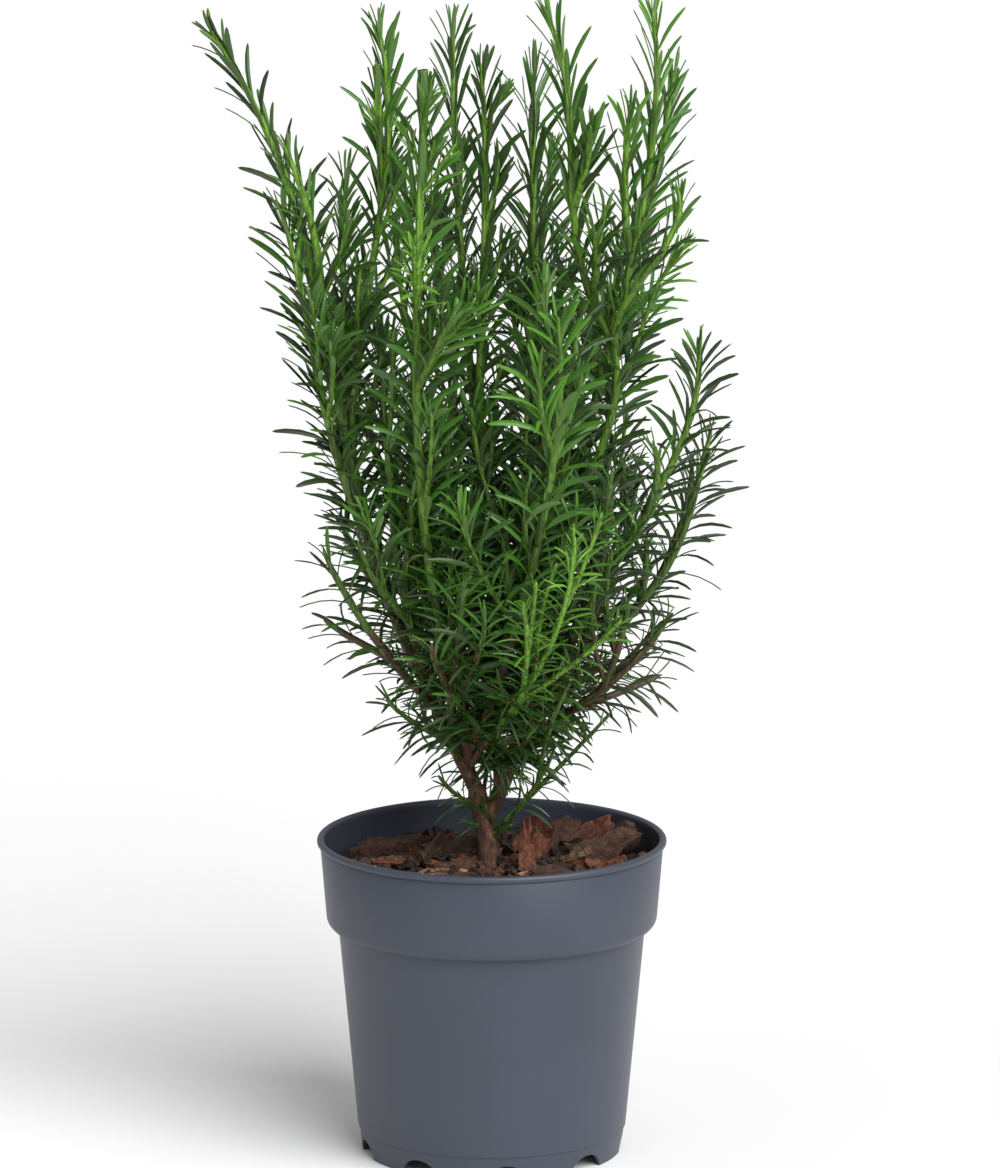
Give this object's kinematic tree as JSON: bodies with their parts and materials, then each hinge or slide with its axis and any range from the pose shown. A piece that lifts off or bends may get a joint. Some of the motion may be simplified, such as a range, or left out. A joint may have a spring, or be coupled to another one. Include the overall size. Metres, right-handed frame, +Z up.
{
  "type": "potted hybrid yew",
  "caption": "Young upright hybrid yew with dense needled shoots, growing in a tapering plastic nursery pot topped with bark mulch.",
  "frame": {"origin": "middle of the flat pad under the pot, on the floor that it stands on", "axes": "+Z up from the pot's underside to the top of the crown, -Y to the front of the plant as pictured, +X to its right"},
  "size_m": [0.2905, 0.2168, 0.6318],
  "materials": {
    "pot": "slate grey moulded polypropylene, satin",
    "soil": "damp peat potting soil",
    "bark_mulch": "rough pine bark chips",
    "wood": "flaky red-brown yew bark",
    "foliage": "glossy dark green yew needles"
  },
  "bodies": {
    "root": {"pot": "pot", "soil": "soil", "bark_mulch": "bark_mulch", "trunk": "wood", "bough_left": "wood", "bough_right": "wood", "bough_front": "wood", "bough_centre": "wood", "bough_centre_back": "wood", "bough_back_left": "wood", "bough_back": "wood", "bough_back_right": "wood", "bough_front_right": "wood", "bough_front_low": "wood", "bough_front_left": "wood", "bough_right_low": "wood", "bough_right_outer": "wood", "bough_right_mid": "wood", "bough_left_low": "wood", "bough_left_sprig": "wood", "bough_left_back": "wood", "bough_inner_front": "wood", "bough_inner_right": "wood", "bough_right_back": "wood", "bough_low_back_left": "wood", "foliage_left_top": "foliage", "foliage_front_leader": "foliage", "foliage_centre": "foliage", "foliage_centre_back": "foliage", "foliage_right_top": "foliage", "foliage_back_right": "foliage", "foliage_right_mid": "foliage", "foliage_right_outer": "foliage", "foliage_right_low": "foliage", "foliage_front_right": "foliage", "foliage_front_low": "foliage", "foliage_front_left": "foliage", "foliage_left_low": "foliage", "foliage_left_sprig": "foliage", "foliage_left_back": "foliage", "foliage_inner_front": "foliage", "foliage_inner_right": "foliage", "foliage_right_back": "foliage", "foliage_back_left": "foliage", "foliage_back": "foliage", "foliage_low_back_left": "foliage", "foliage_back_low": "foliage", "foliage_trunk_left": "foliage", "foliage_trunk_right": "foliage"}
  },
  "joints": []
}
